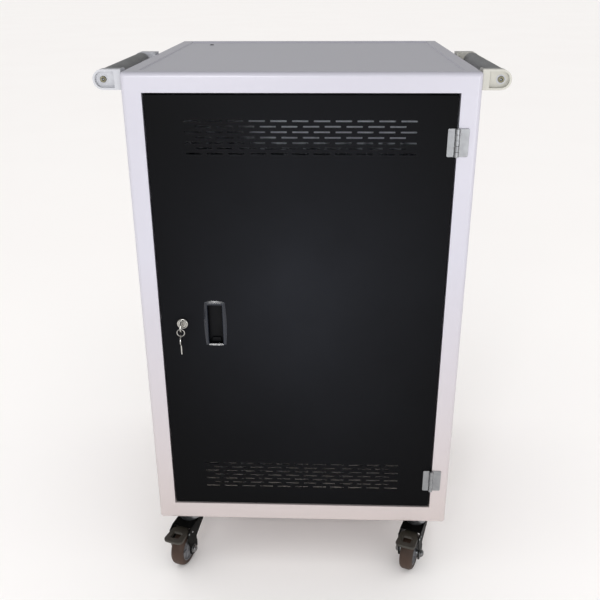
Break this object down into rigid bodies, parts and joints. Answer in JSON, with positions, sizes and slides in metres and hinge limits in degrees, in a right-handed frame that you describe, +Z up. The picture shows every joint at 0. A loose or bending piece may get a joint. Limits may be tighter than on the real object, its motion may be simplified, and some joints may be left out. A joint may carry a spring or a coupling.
{
  "type": "laptop charging cart",
  "caption": "Upright steel cart on swivel casters: vented lockable front and rear doors, side push handles, divided device bays on shelves, power strips behind a partition.",
  "frame": {"origin": "on the floor, at the middle of the overall footprint", "axes": "+Z up, front door faces -Y, +X to the right of a person facing the front"},
  "size_m": [0.708, 0.6806, 1.053],
  "materials": {
    "white_paint": "satin powder coat",
    "shelf_paint": "satin powder coat",
    "divider_plastic": "fine grain",
    "black_paint": "satin powder coat",
    "zinc_plate": "zinc plated",
    "chrome_trim": "polished",
    "black_plastic": "fine grain",
    "cable_sheath": "matt",
    "bracket_plastic": "satin",
    "grip_rubber": "ribbed, matt",
    "caster_black": "satin",
    "hub_plastic": "moulded",
    "tyre_rubber": "matt",
    "pedal_steel": "satin"
  },
  "bodies": {
    "cabinet": {"front_frame": "white_paint", "rear_frame": "white_paint", "left_side_panel": "white_paint", "right_side_panel": "white_paint", "top_panel": "white_paint", "base_panel": "white_paint", "lower_shelf": "shelf_paint", "upper_shelf": "shelf_paint", "lower_dividers": "divider_plastic", "upper_dividers": "divider_plastic", "partition_panels": "shelf_paint", "lower_power_strip": "black_plastic", "upper_power_strip": "black_plastic", "supply_cables": "cable_sheath", "power_inlet": "black_plastic", "caster_plates": "zinc_plate", "caster_bolts": "zinc_plate", "hinge_frame_leaves": "zinc_plate", "hinge_pins": "zinc_plate", "handle_bolts": "zinc_plate", "left_handle_front_bracket": "bracket_plastic", "left_handle_rear_bracket": "bracket_plastic", "left_handle_grip": "grip_rubber", "right_handle_front_bracket": "bracket_plastic", "right_handle_rear_bracket": "bracket_plastic", "right_handle_grip": "grip_rubber"},
    "front_door_leaf": {"front_door": "black_paint", "door_pull": "black_plastic", "front_lock_housing": "chrome_trim", "front_hinge_door_leaves": "zinc_plate"},
    "front_lock_core": {"front_lock_plug": "chrome_trim", "front_lock_cam": "zinc_plate", "door_key": "chrome_trim"},
    "split_ring": {"key_ring": "chrome_trim"},
    "second_key": {"spare_key": "chrome_trim"},
    "rear_door_leaf": {"rear_door": "black_paint", "rear_lock_housing": "chrome_trim", "rear_hinge_door_leaves": "zinc_plate"},
    "rear_lock_core": {"rear_lock_plug": "chrome_trim", "rear_lock_cam": "zinc_plate"},
    "switch_rocker": {"power_switch": "black_plastic"},
    "front_left_caster": {"front_left_caster_fork": "caster_black", "front_left_caster_axle": "zinc_plate"},
    "front_left_wheel": {"front_left_caster_hub": "hub_plastic", "front_left_caster_tyre": "tyre_rubber"},
    "front_left_brake": {"front_left_brake_pedal": "pedal_steel"},
    "front_right_caster": {"front_right_caster_fork": "caster_black", "front_right_caster_axle": "zinc_plate"},
    "front_right_wheel": {"front_right_caster_hub": "hub_plastic", "front_right_caster_tyre": "tyre_rubber"},
    "front_right_brake": {"front_right_brake_pedal": "pedal_steel"},
    "rear_left_caster": {"rear_left_caster_fork": "caster_black", "rear_left_caster_axle": "zinc_plate"},
    "rear_left_wheel": {"rear_left_caster_hub": "hub_plastic", "rear_left_caster_tyre": "tyre_rubber"},
    "rear_right_caster": {"rear_right_caster_fork": "caster_black", "rear_right_caster_axle": "zinc_plate"},
    "rear_right_wheel": {"rear_right_caster_hub": "hub_plastic", "rear_right_caster_tyre": "tyre_rubber"}
  },
  "joints": [
    {"name": "front_door_swing", "type": "hinge", "parent": "cabinet", "child": "front_door_leaf", "pos_m": [0.2685, -0.2945, 0.586], "axis": [0, 0, 1], "range_deg": [0, 170]},
    {"name": "front_lock_turn", "type": "hinge", "parent": "front_door_leaf", "child": "front_lock_core", "pos_m": [-0.2265, -0.2905, 0.586], "axis": [0, 1, 0], "range_deg": [0, 90]},
    {"name": "key_ring_swing", "type": "hinge", "parent": "front_lock_core", "child": "split_ring", "pos_m": [-0.2265, -0.3155, 0.5844], "axis": [1, 0, 0], "range_deg": [-20, 20]},
    {"name": "spare_key_swing", "type": "hinge", "parent": "split_ring", "child": "second_key", "pos_m": [-0.2265, -0.3155, 0.5702], "axis": [1, 0, 0], "range_deg": [-10, 10]},
    {"name": "rear_door_swing", "type": "hinge", "parent": "cabinet", "child": "rear_door_leaf", "pos_m": [-0.2685, 0.3385, 0.586], "axis": [0, 0, 1], "range_deg": [0, 170]},
    {"name": "rear_lock_turn", "type": "hinge", "parent": "rear_door_leaf", "child": "rear_lock_core", "pos_m": [0.2265, 0.3345, 0.586], "axis": [0, -1, 0], "range_deg": [0, 90]},
    {"name": "power_switch_rock", "type": "hinge", "parent": "cabinet", "child": "switch_rocker", "pos_m": [0.297, 0.2555, 0.217], "axis": [0, 1, 0], "range_deg": [-7, 7]},
    {"name": "front_left_swivel", "type": "hinge", "parent": "cabinet", "child": "front_left_caster", "pos_m": [-0.249, -0.2485, 0.122], "axis": [0, 0, 1], "continuous": true},
    {"name": "front_left_roll", "type": "hinge", "parent": "front_left_caster", "child": "front_left_wheel", "pos_m": [-0.26013, -0.28379, 0.04], "axis": [0.9537, -0.3007, 0], "continuous": true},
    {"name": "front_left_brake_press", "type": "hinge", "parent": "front_left_caster", "child": "front_left_brake", "pos_m": [-0.25742, -0.2752, 0.0895], "axis": [0.9537, -0.3007, 0], "range_deg": [0, 12]},
    {"name": "front_right_swivel", "type": "hinge", "parent": "cabinet", "child": "front_right_caster", "pos_m": [0.249, -0.2485, 0.122], "axis": [0, 0, 1], "continuous": true},
    {"name": "front_right_roll", "type": "hinge", "parent": "front_right_caster", "child": "front_right_wheel", "pos_m": [0.23574, -0.28304, 0.04], "axis": [0.9336, -0.3584, 0], "continuous": true},
    {"name": "front_right_brake_press", "type": "hinge", "parent": "front_right_caster", "child": "front_right_brake", "pos_m": [0.23897, -0.27464, 0.0895], "axis": [0.9336, -0.3584, 0], "range_deg": [0, 12]},
    {"name": "rear_left_swivel", "type": "hinge", "parent": "cabinet", "child": "rear_left_caster", "pos_m": [-0.249, 0.2925, 0.122], "axis": [0, 0, 1], "continuous": true},
    {"name": "rear_left_roll", "type": "hinge", "parent": "rear_left_caster", "child": "rear_left_wheel", "pos_m": [-0.25795, 0.2566, 0.04], "axis": [0.9703, -0.2419, 0], "continuous": true},
    {"name": "rear_right_swivel", "type": "hinge", "parent": "cabinet", "child": "rear_right_caster", "pos_m": [0.249, 0.2925, 0.122], "axis": [0, 0, 1], "continuous": true},
    {"name": "rear_right_roll", "type": "hinge", "parent": "rear_right_caster", "child": "rear_right_wheel", "pos_m": [0.24194, 0.25618, 0.04], "axis": [0.9816, -0.1908, 0], "continuous": true}
  ]
}
